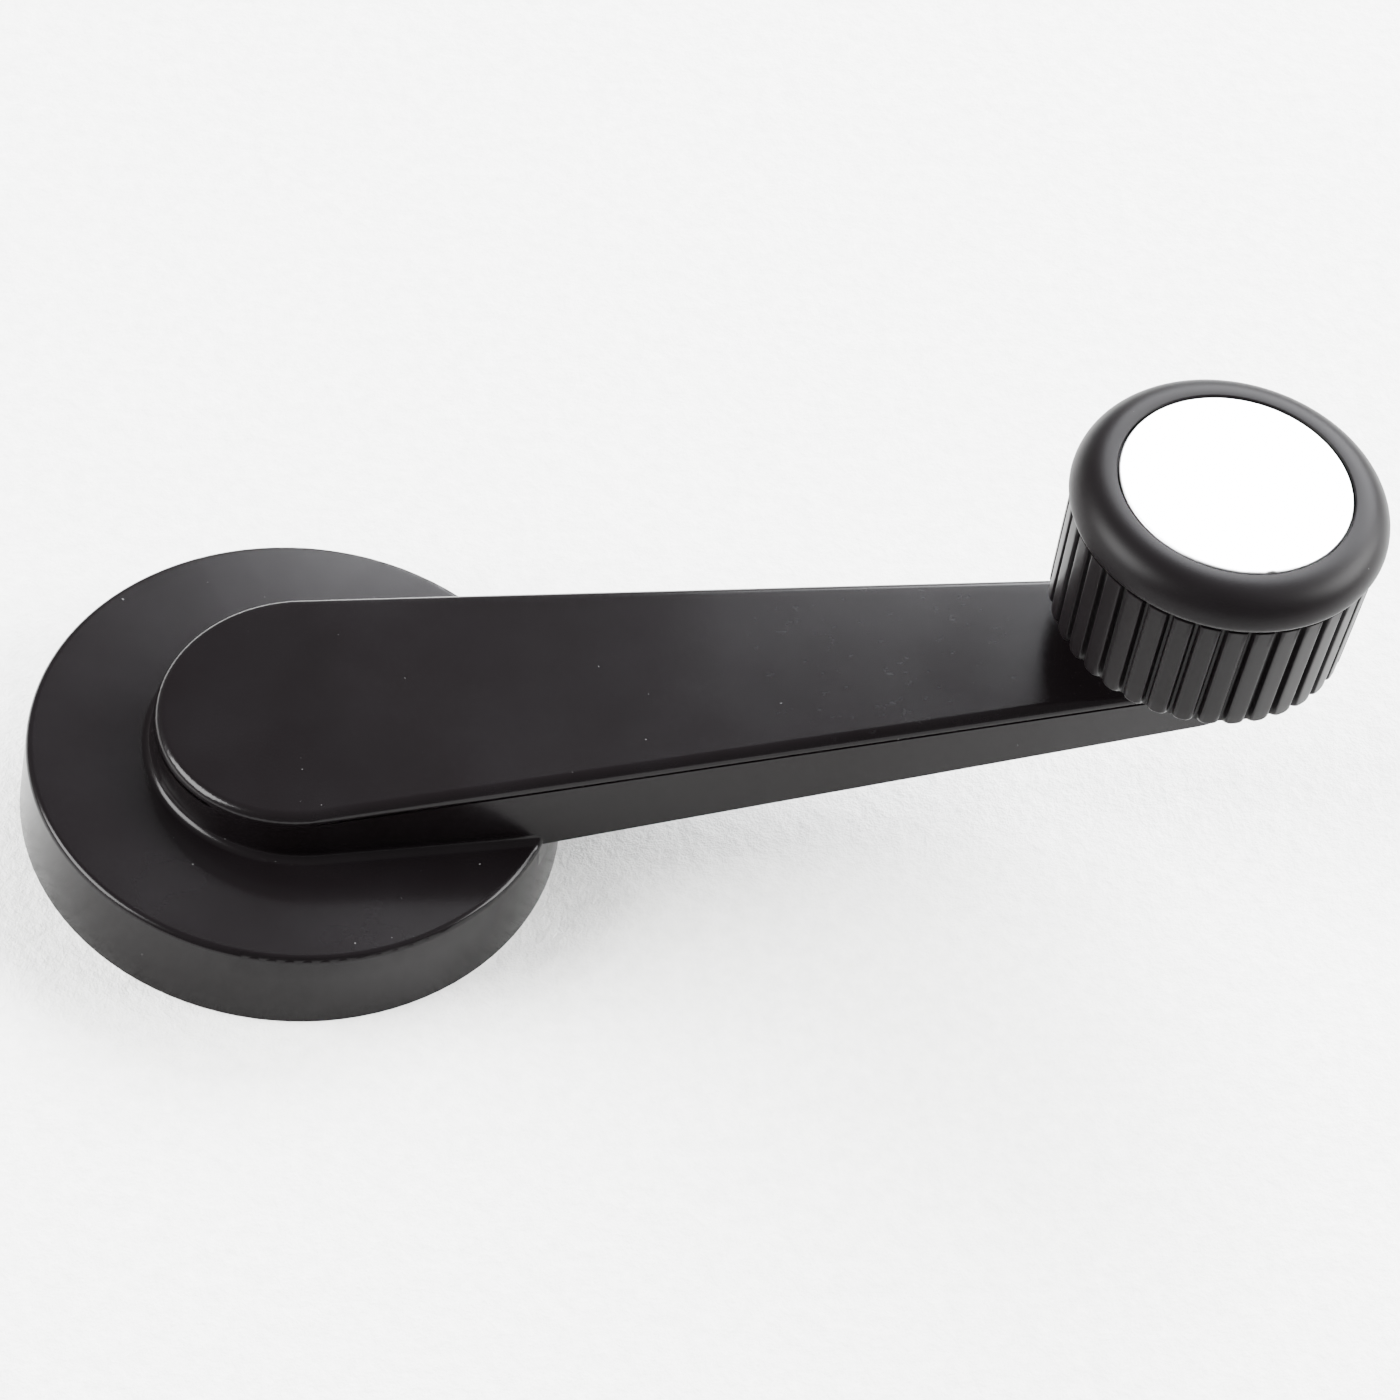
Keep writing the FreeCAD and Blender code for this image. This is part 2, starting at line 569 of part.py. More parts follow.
def make_core_strap():
    body = new_body("core_strap")
    low = (("0", STRAP_LOW),) + strap_path("0", "arm_length")
    top = (("0", STRAP_TOP),) + strap_path("0 - strap_thick", "arm_length")
    across_y(body, "Pad", "bar", "2 * strap_half", *low, *reversed(top))
    for name, radius, x, height in (("hub_pad", STRAP_PAD, "0", STRAP_LOW),
                                    ("end_pad", COLLAR_RADIUS, "arm_length", STRAP_HIGH)):
        pad = new_sketch(body, name, "XY_Plane", offset=height)
        add_circle(pad, radius, x=x)
        feature(body, "Pad", pad, Length="strap_thick")
    bore(body, "hub_hole", HUB_NECK, f"{STRAP_LOW} - overrun", f"{STRAP_TOP} + overrun")
    bore(body, "stud_hole", TENON_RADIUS, f"{STRAP_HIGH} - overrun", f"{STRAP_END_TOP} + overrun",
         x="arm_length")
    bore(body, "pin_hole", "pin_radius", STRAP_LOW, f"{STRAP_END_TOP} + overrun", x=PIN_PLACE)
    return body


def cross_recess(body, arm, width, depth, face, upward):
    """A cross recess in a screw's head, as two slots that run up or down from its face."""
    half = f"(0.5 * {width})"
    for name, wide, high in (("slot_x", arm, half), ("slot_y", half, arm)):
        slot = new_sketch(body, name, "XY_Plane", offset=face)
        add_outline(slot, (f"0 - {wide}", f"0 - {high}"), (wide, f"0 - {high}"),
                    (wide, high), (f"0 - {wide}", high))
        feature(body, "Pocket", slot, Length=depth, Reversed=upward)


def make_handle_screw():
    body = new_body("handle_screw")
    top, tip = f"({SCREW_SEAT} + screw_head_high)", f"({SCREW_SEAT} - screw_length)"
    revolve(
        body, "turned",
        ("0", tip),
        ("screw_radius - screw_tip", tip),
        ("screw_radius", f"{tip} + screw_tip"),
        ("screw_radius", SCREW_SEAT),
        ("screw_head", SCREW_SEAT),
        ("screw_head", f"{top} - screw_head_round", "screw_head_round", 1),
        ("screw_head - screw_head_round", top),
        ("0", top),
    )
    cross_recess(body, "recess_arm", "recess_wide", "recess_deep", top, False)
    return body


def make_core_screw():
    body = new_body("core_screw")
    low = low_face(PIN_PLACE)
    seat = low_face(PIN_PLACE, "pin_head_high")
    tip = f"({STRAP_TOP} + {STRAP_SLOPE} * ({PIN_PLACE} - strap_bend_hub) - pin_short)"
    revolve(
        body, "turned",
        ("0", low),
        ("pin_head - pin_chamfer", low),
        ("pin_head", f"{low} + pin_chamfer"),
        ("pin_head", seat),
        ("pin_radius", seat),
        ("pin_radius", f"{tip} - pin_chamfer"),
        ("pin_radius - pin_chamfer", tip),
        ("0", tip),
    )
    cross_recess(body, "pin_recess_arm", "pin_recess_wide", "pin_recess_deep", low, True)
    bind(body, "Placement.Base.x", PIN_PLACE)
    return body


def make_ring(label, inner, outer, low, thick):
    """A plain round washer."""
    body = new_body(label)
    high = f"{low} + {thick}"
    revolve(body, "turned", (inner, low), (outer, low), (outer, high), (inner, high))
    return body


def make_open_ring(label, inner, outer, half_gap, low, thick):
    """A flat ring with an opening on its +X side."""
    body = new_body(label)
    sketch = new_sketch(body, "ring", "XY_Plane", offset=low)
    outer_x = f"sqrt({outer} * {outer} - {half_gap} * {half_gap})"
    inner_x = f"sqrt({inner} * {inner} - {half_gap} * {half_gap})"
    add_outline(
        sketch,
        (outer_x, half_gap, outer, 1),
        (f"0 - {outer}", "0", outer, 1),
        (outer_x, f"0 - {half_gap}"),
        (inner_x, f"0 - {half_gap}", inner, -1),
        (f"0 - {inner}", "0", inner, -1),
        (inner_x, half_gap),
    )
    feature(body, "Pad", sketch, Length=thick)
    return body


# ---- Stud and what holds the grip on it ----


def make_knob_stud():
    body = new_body("knob_stud")
    rivet = f"({STRAP_HIGH} - rivet_high)"
    end = f"({CLIP_TOP} + stud_end)"
    revolve(
        body, "turned",
        ("0", rivet),
        (f"{RIVET_RADIUS} - rivet_high", rivet),
        (RIVET_RADIUS, STRAP_HIGH),
        (TENON_RADIUS, STRAP_HIGH),
        (TENON_RADIUS, STRAP_END_TOP),
        (COLLAR_RADIUS, STRAP_END_TOP),
        (COLLAR_RADIUS, COLLAR_TOP),
        ("stud_radius", COLLAR_TOP),
        ("stud_radius", CLIP_LOW),
        (GROOVE_RADIUS, CLIP_LOW),
        (GROOVE_RADIUS, CLIP_TOP),
        ("stud_radius", CLIP_TOP),
        ("stud_radius", f"{end} - stud_chamfer"),
        ("stud_radius - stud_chamfer", end),
        ("0", end),
    )
    return body


def make_spring_washer():
    """A dished washer whose inner edge stands on the collar."""
    body = new_body("spring_washer")
    edge = f"({COLLAR_RADIUS} - spring_margin)"
    revolve(
        body, "turned",
        (BUSH_BORE, COLLAR_TOP),
        (edge, f"{COLLAR_TOP} + spring_rise"),
        (edge, f"{COLLAR_TOP} + spring_rise + spring_thick"),
        (BUSH_BORE, f"{COLLAR_TOP} + spring_thick"),
    )
    return body


# ---- Grip ----


def make_knob_bush():
    body = new_body("knob_bush")
    flange = f"({BUSH_RADIUS} + bush_ledge)"
    revolve(
        body, "turned",
        (BUSH_BORE, BUSH_LOW),
        (flange, BUSH_LOW),
        (flange, BUSH_SHOULDER),
        (BUSH_RADIUS, BUSH_SHOULDER),
        (BUSH_RADIUS, BUSH_TOP),
        (BUSH_BORE, BUSH_TOP),
    )
    return body


def make_knob_shell():
    body = new_body("knob_shell")
    ceiling = f"({PAD_LOW} - grip_plate)"
    revolve(
        body, "turned",
        (f"{GRIP_FOOT} - grip_wall", GRIP_LOW),
        (GRIP_FOOT, GRIP_LOW),
        (GRIP_WAIST, RIM_LOW, "rim_tuck_round", 1),
        ("grip_rim", f"{GRIP_HIGH} - rim_round", "rim_round", 1),
        ("grip_rim - rim_round", GRIP_HIGH),
        (DISC_WELL, GRIP_HIGH),
        (DISC_WELL, PAD_LOW),
        (GRIP_WELL, PAD_LOW),
        (GRIP_WELL, BUSH_TOP),
        (BUSH_RADIUS, BUSH_TOP),
        (BUSH_RADIUS, BUSH_SHOULDER),
        (GRIP_BOSS, BUSH_SHOULDER),
        (GRIP_BOSS, ceiling),
        (f"{GRIP_WAIST} - grip_wall", ceiling),
    )
    inner, outer = f"({GRIP_BOSS} - web_bite)", f"({GRIP_WAIST} - grip_wall + web_bite)"
    low, high = f"({BUSH_SHOULDER} + web_bite)", f"({ceiling} + web_bite)"
    web = across_y(body, "Pad", "web", "web_thick", (inner, low), (outer, low), (outer, high), (inner, high))
    around(body, "webs", web, "web_count")
    foot, outside = f"({GRIP_LOW} - overrun)", "(grip_rim + overrun)"
    skirt = f"(skirt_taper / ({RIM_LOW} - {GRIP_LOW}))"
    groove = across_y(body, "Pocket", "groove", "groove_wide",
                      (f"{GRIP_FOOT} - groove_deep - overrun * {skirt}", foot), (outside, foot),
                      (outside, f"{RIM_LOW} - groove_stop"),
                      (f"{GRIP_WAIST} - groove_deep - groove_stop * {skirt}", f"{RIM_LOW} - groove_stop"))
    around(body, "grooves", groove, "groove_count")
    return body


def make_disc():
    body = new_body("knob_disc")
    top = f"({DISC_LOW} + disc_thick)"
    revolve(
        body, "turned",
        ("0", DISC_LOW),
        (DISC_RADIUS, DISC_LOW),
        (DISC_RADIUS, f"{top} - disc_edge"),
        (f"{DISC_RADIUS} - disc_edge", top),
        ("0", top),
    )
    return body


def build():
    """Every piece of the crank, as named bodies."""
    crank = [
        make_crank_body(),
        make_arm_cover(),
        make_drive_hub(),
        make_core_strap(),
        make_handle_screw(),
        make_ring("flat_washer", SCREW_BORE, "(screw_head + washer_edge)", STRAP_TOP, "washer_thick"),
        make_open_ring("lock_washer", SCREW_BORE, "(screw_head + lock_edge)", "lock_gap",
                       LOCK_LOW, "lock_thick"),
        make_core_screw(),
    ]
    on_stud = [
        make_knob_stud(),
        make_spring_washer(),
        make_ring("thrust_washer", BUSH_BORE, THRUST_RADIUS, THRUST_LOW, "thrust_thick"),
        make_open_ring("retaining_clip", GROOVE_RADIUS, "(stud_radius + clip_edge)", "clip_gap",
                       CLIP_LOW, "clip_thick"),
        make_knob_bush(),
        make_knob_shell(),
        make_ring("disc_pad", GRIP_WELL, f"({DISC_RADIUS} - pad_margin)", PAD_LOW, "pad_thick"),
        make_disc(),
    ]
    for body in on_stud:
        bind(body, "Placement.Base.x", "arm_length")
    return crank + on_stud


def lost_volume(pocket):
    return pocket.BaseFeature.Shape.Volume - pocket.Shape.Volume


def check(pieces):
    """Stops on any failed object, empty or open shape, or cut that took nothing away."""
    for item in doc.Objects:
        if "Invalid" in item.State or "Error" in item.State:
            raise RuntimeError(f"{item.Label} did not build: {item.State}")
        if item.TypeId == "PartDesign::Pocket" and lost_volume(item) < LEAST_CUT:
            raise RuntimeError(f"{item.Label} cuts nothing")
    for piece in pieces:
        if piece.Shape.isNull() or not piece.Shape.isValid() or len(piece.Shape.Solids) != 1:
            raise RuntimeError(f"{piece.Label} is not one valid solid")


parts = build()
doc.recompute()
check(parts)
os.makedirs("parts", exist_ok=True)
for part in parts:
    part.Shape.exportStep(f"parts/{part.Label}.step")
    print(f"{part.Label}: {part.Shape.Volume:.1f} mm3")
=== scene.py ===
import json
import math

import bmesh
import bpy
from mathutils import Matrix, Vector

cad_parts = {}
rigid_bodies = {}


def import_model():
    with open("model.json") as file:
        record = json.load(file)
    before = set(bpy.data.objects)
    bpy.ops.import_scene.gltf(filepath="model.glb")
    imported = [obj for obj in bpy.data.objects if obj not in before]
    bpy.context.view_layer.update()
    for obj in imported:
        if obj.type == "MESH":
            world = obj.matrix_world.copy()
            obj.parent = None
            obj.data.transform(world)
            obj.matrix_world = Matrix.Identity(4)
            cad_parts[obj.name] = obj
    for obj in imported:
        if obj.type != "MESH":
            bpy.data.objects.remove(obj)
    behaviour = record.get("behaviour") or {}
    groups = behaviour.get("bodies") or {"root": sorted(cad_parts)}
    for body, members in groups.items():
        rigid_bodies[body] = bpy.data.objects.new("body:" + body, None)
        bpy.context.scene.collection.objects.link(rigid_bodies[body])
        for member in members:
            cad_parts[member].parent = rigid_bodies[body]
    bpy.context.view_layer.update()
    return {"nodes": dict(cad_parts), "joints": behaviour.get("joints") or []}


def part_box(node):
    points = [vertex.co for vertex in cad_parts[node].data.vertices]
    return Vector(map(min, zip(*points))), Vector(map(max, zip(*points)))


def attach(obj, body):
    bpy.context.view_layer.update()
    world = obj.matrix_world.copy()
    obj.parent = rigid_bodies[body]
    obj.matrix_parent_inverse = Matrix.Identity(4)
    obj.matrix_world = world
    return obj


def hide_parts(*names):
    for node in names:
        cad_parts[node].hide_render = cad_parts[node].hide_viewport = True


# Car window winder crank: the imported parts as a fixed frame, smoother skins for the three
# mouldings and the bright disc, procedural finishes, a pale floor, soft studio light and the
# camera. Metres, with +X along the arm and +Z away from the door.

for leftover in list(bpy.data.objects):
    bpy.data.objects.remove(leftover)
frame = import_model()
nodes = frame["nodes"]
MM = 0.001


# ---- Materials ----

# Noise scales are cells to the metre and bump depths are metres. Noise mostly lies between
# NOISE_LOW and NOISE_HIGH.
NOISE_LOW, NOISE_HIGH = 0.3, 0.7

# Black plastic
BLACK_DEEP = (0.0021, 0.0016, 0.0018, 1)
BLACK_PALE = (0.0028, 0.0023, 0.0026, 1)
BLACK_TINT_SCALE = 90.0
CLOUD_SCALE = 35.0
CLOUD_GLOSSIER, CLOUD_DULLER = 0.025, 0.035
SWELL_SCALE, SWELL_STRENGTH, SWELL_DEPTH = 140.0, 0.10, 0.00012
GRAIN_SCALE, GRAIN_STRENGTH, GRAIN_DEPTH = 5200.0, 0.06, 0.00003
DUST_COLOUR = (0.045, 0.045, 0.045, 1)
DUST_SCALE = 1300.0
DUST_FROM, DUST_FULL = 0.82, 0.83
SCUFF_COLOUR = (0.010, 0.010, 0.0105, 1)
SCUFF_SCALE = 900.0
SCUFF_STRETCH = (0.7, 1.0, 1.0)
SCUFF_FROM, SCUFF_FULL = 0.63, 0.78
# In metres, and the part of it where the marks are at their strongest.
SCUFF_REACH = 0.02
SCUFF_CORE = 0.35

# Metal
METAL_SCALE, METAL_STRENGTH, METAL_DEPTH = 900.0, 0.15, 0.00004
METAL_DARKER = 0.8
METAL_GLOSSIER, METAL_DULLER = 0.05, 0.06

# Pale plastic and foam
PALE_TINT_SCALE = 160.0
PALE_LIGHTER = 1.08
PALE_GLOSSY, PALE_DULL = 0.42, 0.5
PALE_SCALE, PALE_STRENGTH, PALE_DEPTH = 3000.0, 0.1, 0.00003


class Finish:
    """A material's node tree, with short calls for the nodes that these finishes use."""

    def __init__(self, name):
        self.material = bpy.data.materials.new(name)
        self.material.use_nodes = True
        self.tree = self.material.node_tree
        self.tree.nodes.clear()
        self.shader = self.add("ShaderNodeBsdfPrincipled")
        output = self.add("ShaderNodeOutputMaterial")
        self.link(self.shader.outputs["BSDF"], output.inputs["Surface"])
        self.coordinates = self.add("ShaderNodeTexCoord").outputs["Object"]

    def add(self, kind, **settings):
        node = self.tree.nodes.new(kind)
        for key, value in settings.items():
            setattr(node, key, value)
        return node

    def link(self, start, end):
        self.tree.links.new(start, end)

    def drive(self, socket, source):
        """Lets source give the shader's socket of that name."""
        self.link(source, self.shader.inputs[socket])

    def noise(self, scale, detail=2.0, roughness=0.5, stretch=None):
        node = self.add("ShaderNodeTexNoise")
        node.inputs["Scale"].default_value = scale
        node.inputs["Detail"].default_value = detail
        node.inputs["Roughness"].default_value = roughness
        source = self.coordinates
        if stretch:
            mapping = self.add("ShaderNodeMapping")
            mapping.inputs["Scale"].default_value = stretch
            self.link(source, mapping.inputs["Vector"])
            source = mapping.outputs["Vector"]
        self.link(source, node.inputs["Vector"])
        return node.outputs["Fac"]

    def ramp(self, source, low, high, below, above):
        """source between low and high, turned into a value or colour from below to above."""
        node = self.add("ShaderNodeValToRGB")
        first, last = node.color_ramp.elements
        first.position, last.position = low, high
        first.color = below if isinstance(below, tuple) else (below, below, below, 1)
        last.color = above if isinstance(above, tuple) else (above, above, above, 1)
        self.link(source, node.inputs["Fac"])
        return node.outputs["Color"]

    def spread(self, noise, below, above):
        """A noise's usual range, turned into a value or colour from below to above."""
        return self.ramp(noise, NOISE_LOW, NOISE_HIGH, below, above)

    def bump(self, height, strength, distance, before=None):
        node = self.add("ShaderNodeBump")
        node.inputs["Strength"].default_value = strength
        node.inputs["Distance"].default_value = distance
        self.link(height, node.inputs["Height"])
        if before:
            self.link(before, node.inputs["Normal"])
        return node.outputs["Normal"]

    def near(self, place, core, reach):
        """1 within core of place, falling to 0 at reach."""
        away = self.add("ShaderNodeVectorMath", operation="DISTANCE")
        self.link(self.coordinates, away.inputs[0])
        away.inputs[1].default_value = place
        return self.ramp(away.outputs["Value"], core, reach, 1.0, 0.0)

    def times(self, one, other):
        node = self.add("ShaderNodeMath", operation="MULTIPLY")
        self.link(one, node.inputs[0])
        self.link(other, node.inputs[1])
        return node.outputs["Value"]

    def mix(self, amount, one, other):
        """Colour one where amount is 0, other where it is 1. Each is a colour or a socket."""
        node = self.add("ShaderNodeMix", data_type="RGBA")
        # Sockets 0, 6 and 7 and output 2 are a colour mix's factor, A, B and result.
        self.link(amount, node.inputs[0])
        for socket, colour in ((node.inputs[6], one), (node.inputs[7], other)):
            if isinstance(colour, tuple):
                socket.default_value = colour
            else:
                self.link(colour, socket)
        return node.outputs[2]


def black_plastic(name, roughness, sheen, scuffed=None):
    """Satin black moulding: fine grain, cloudy sheen, a few dust specks, and rubbed marks near
    the place scuffed."""
    finish = Finish(name)
    finish.shader.inputs["Specular IOR Level"].default_value = sheen
    clouds = finish.noise(CLOUD_SCALE, detail=3.0)
    satin = finish.spread(clouds, roughness - CLOUD_GLOSSIER, roughness + CLOUD_DULLER)
    finish.drive("Roughness", satin)
    tint = finish.spread(finish.noise(BLACK_TINT_SCALE, detail=4.0), BLACK_DEEP, BLACK_PALE)
    specks = finish.ramp(finish.noise(DUST_SCALE, detail=1.0), DUST_FROM, DUST_FULL, 0.0, 1.0)
    colour = finish.mix(specks, tint, DUST_COLOUR)
    if scuffed:
        streaks = finish.noise(SCUFF_SCALE, detail=4.0, roughness=0.6, stretch=SCUFF_STRETCH)
        marks = finish.ramp(streaks, SCUFF_FROM, SCUFF_FULL, 0.0, 1.0)
        around = finish.near(scuffed, SCUFF_CORE * SCUFF_REACH, SCUFF_REACH)
        colour = finish.mix(finish.times(marks, around), colour, SCUFF_COLOUR)
    finish.drive("Base Color", colour)
    swell = finish.bump(finish.noise(SWELL_SCALE), SWELL_STRENGTH, SWELL_DEPTH)
    grain = finish.bump(finish.noise(GRAIN_SCALE), GRAIN_STRENGTH, GRAIN_DEPTH, before=swell)
    finish.drive("Normal", grain)
    return finish.material


def metal(name, colour, roughness, stretch=(1, 1, 1)):
    """Bare or plated metal, with fine marks that stretch draws out along the smaller axes."""
    finish = Finish(name)
    finish.shader.inputs["Metallic"].default_value = 1.0
    grain = finish.noise(METAL_SCALE, detail=4.0, stretch=stretch)
    darker = tuple(METAL_DARKER * part for part in colour) + (1,)
    finish.drive("Base Color", finish.spread(grain, darker, colour + (1,)))
    satin = finish.spread(grain, roughness - METAL_GLOSSIER, roughness + METAL_DULLER)
    finish.drive("Roughness", satin)
    finish.drive("Normal", finish.bump(grain, METAL_STRENGTH, METAL_DEPTH))
    return finish.material


def pale_plastic(name, colour):
    finish = Finish(name)
    clouds = finish.noise(PALE_TINT_SCALE, detail=3.0)
    lighter = tuple(min(PALE_LIGHTER * part, 1) for part in colour) + (1,)
    finish.drive("Base Color", finish.spread(clouds, colour + (1,), lighter))
    finish.drive("Roughness", finish.spread(clouds, PALE_GLOSSY, PALE_DULL))
    grain = finish.noise(PALE_SCALE)
    finish.drive("Normal", finish.bump(grain, PALE_STRENGTH, PALE_DEPTH))
    return finish.material


AXIS_X = frame["joints"][0]["pos_m"][0]
cover_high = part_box("arm_cover")[1]
# On the arm's top beside the grip, where hands rub it.
SCUFF_PLACE = (AXIS_X - 33 * MM, 2 * MM, cover_high.z - 2 * MM)
# Black plastics give their roughness and sheen, metals their colour and roughness.
FINISHES = {
    "crank_body": black_plastic("body_black", 0.21, 0.073),
    "arm_cover": black_plastic("cover_black", 0.20, 0.088, scuffed=SCUFF_PLACE),
    "knob_shell": black_plastic("grip_black", 0.40, 0.052),
    "knob_disc": metal("disc_bright", (0.95, 0.955, 0.96), 0.42),
    "drive_hub": metal("hub_cast", (0.5, 0.5, 0.49), 0.45),
    "core_strap": metal("strap_steel", (0.45, 0.45, 0.45), 0.4, stretch=(1, 6, 6)),
    "handle_screw": metal("screw_plated", (0.66, 0.64, 0.58), 0.28),
    "flat_washer": metal("washer_plated", (0.66, 0.64, 0.58), 0.3),
    "lock_washer": metal("lock_plated", (0.6, 0.58, 0.53), 0.33),
    "core_screw": metal("core_screw_plated", (0.62, 0.6, 0.55), 0.3),
    "knob_stud": metal("stud_turned", (0.6, 0.6, 0.6), 0.22, stretch=(1, 1, 8)),
    "spring_washer": metal("spring_steel", (0.4, 0.39, 0.38), 0.3),
    "retaining_clip": metal("clip_black", (0.12, 0.11, 0.1), 0.35),
    "thrust_washer": pale_plastic("nylon_washer", (0.72, 0.7, 0.64)),
    "knob_bush": pale_plastic("nylon_bush", (0.76, 0.74, 0.68)),
    "disc_pad": pale_plastic("foam_pad", (0.7, 0.7, 0.68)),
}
for name, material in FINISHES.items():
    for entry in nodes[name].material_slots:
        entry.material = material


# ---- Skins that stand for the mouldings and the disc ----

SHARP_ANGLE = 32.0
WELD = 0.002 * MM

# The grip's sizes are in mm, and its heights are from its foot.
RIBS = 36
RIB_PHASE = -2.7
GROOVE_DEEP = 0.75
GRIP_WAIST = 17.35
GRIP_FOOT = 16.9
GRIP_WALL = 2.4
GRIP_TALL = 21.0
FOOT_BEVEL = 0.12
FOOT_ROUND = 0.40
# Degrees round the foot's rounding, and how much of the ribs' lift each row has.
FOOT_TURNS = ((0, 0.0), (30, 0.3), (60, 0.7), (90, 1.0))
RIM_RADIUS = 17.85
RIM_LOW = 16.1
RIM_ROUND = 3.8
BEAD_ROUND = 0.95
BEAD_RISE = 1.1
LIP_ROUND = 0.16
# The ribs end at RIBS_TOP. Their rows are at RIB_PARTS of the way from the foot's rounding to
# RIBS_GAP below that, and the lift of their lower ends is used up by the first.
RIBS_TOP = RIM_LOW - 0.24
RIBS_GAP = 0.05
RIB_PARTS = (0.12, 0.35, 0.6, 0.85, 1.0)
# The recess between the ribs and the bead: how far in from the waist, how far above RIBS_TOP,
# and how far in the grooves' floor is, or None above the grooves.
RECESS = (
    (0.04, 0.02, 0.70), (0.14, 0.05, 0.5), (0.30, 0.08, None), (0.32, 0.18, None),
    (0.18, 0.25, None),
)
DISC_WELL = 13.2
WELL_FLOOR = 20.15
WASHER_WELL = 7.0
BUSH_HEAD = 12.1
BUSH_HOLE = 5.5
BOSS_FOOT = 1.1
BOSS_RADIUS = 9.0
BOSS_BEVEL = 0.2
CEILING = 17.95
CEILING_BEVEL = 0.4
WEBS = 6
WEB_THICK = 1.4
WEB_BITE = 0.6

# Half a rib period as (mm from the groove's middle, how deep from 0 to 1, how far the rib's
# lower end is lifted in mm).
RIB_STATIONS = (
    (0.0, 1.0, 0.75), (0.16, 0.95, 0.75), (0.28, 0.78, 0.75), (0.36, 0.5, 0.72),
    (0.41, 0.22, 0.66), (0.46, 0.08, 0.56), (0.54, 0.02, 0.42), (0.70, 0.0, 0.22),
    (0.95, 0.0, 0.06), (1.22, 0.0, 0.0),
)

# The bright disc's edge in mm, and the nick in it, in degrees and mm.
DISC_COLUMNS = 180
DISC_EDGE = 0.14
DISC_FOOT = 0.05
DISC_BAND = 0.6
NICK_ANGLE = 275.0
NICK_HALF = 1.5
NICK_DEEP = 0.3


def place_skin(mesh, node, body):
    """Makes a mesh the piece that stands for a CAD node, riding on its body."""
    mesh.materials.append(FINISHES[node])
    piece = bpy.data.objects.new(node + "_skin", mesh)
    bpy.context.scene.collection.objects.link(piece)
    for face in mesh.polygons:
        face.use_smooth = True
    mesh.set_sharp_from_angle(angle=math.radians(SHARP_ANGLE))
    even = piece.modifiers.new("even_faces", "WEIGHTED_NORMAL")
    even.keep_sharp = True
    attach(piece, body)
    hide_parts(node)
    return piece


def welded_mesh(node):
    """The CAD node's own shape with its corners joined, so that its roundings shade smoothly."""
    mesh = nodes[node].data.copy()
    mesh.name = node + "_skin"
    mesh.materials.clear()
    work = bmesh.new()
    work.from_mesh(mesh)
    bmesh.ops.remove_doubles(work, verts=work.verts, dist=WELD)
    work.to_mesh(mesh)
    work.free()
    mesh.normals_split_custom_set([(0, 0, 0)] * len(mesh.loops))
    return mesh


def wrapped_grid(name, rows, columns, point, closed):
    """A round skin: point(row, column) in metres. Closed rows meet end to start; otherwise the
    first and last row are each covered by one face."""
    work = bmesh.new()
    grid = [
        [work.verts.new(point(row, column)) for column in range(columns)] for row in range(rows)
    ]
    for row in range(rows if closed else rows - 1):
        above = grid[(row + 1) % rows]
        for column in range(columns):
            beside = (column + 1) % columns
            corners = (grid[row][column], grid[row][beside], above[beside], above[column])
            work.faces.new(corners)
    if not closed:
        work.faces.new(reversed(grid[0]))
        work.faces.new(grid[-1])
    bmesh.ops.recalc_face_normals(work, faces=work.faces)
    mesh = bpy.data.meshes.new(name)
    work.to_mesh(mesh)
    work.free()
    return mesh


def arc(centre, radius, start, stop, steps):
    """Points (r, z) in mm on an arc, with start and stop in degrees."""
    points = []
    for step in range(steps + 1):
        turn = math.radians(start + (stop - start) * step / steps)
        points.append((centre[0] + radius * math.cos(turn), centre[1] + radius * math.sin(turn)))
    return points


def grip_columns():
    """Every column round the grip as (angle, how deep, how far lifted)."""
    period = 2 * math.pi / RIBS
    columns = []
    for rib in range(RIBS):
        middle = rib * period + math.radians(RIB_PHASE)
        for offset, deep, lift in reversed(RIB_STATIONS[1:]):
            columns.append((middle - offset / GRIP_WAIST, deep, lift))
        for offset, deep, lift in RIB_STATIONS:
            columns.append((middle + offset / GRIP_WAIST, deep, lift))
    return columns


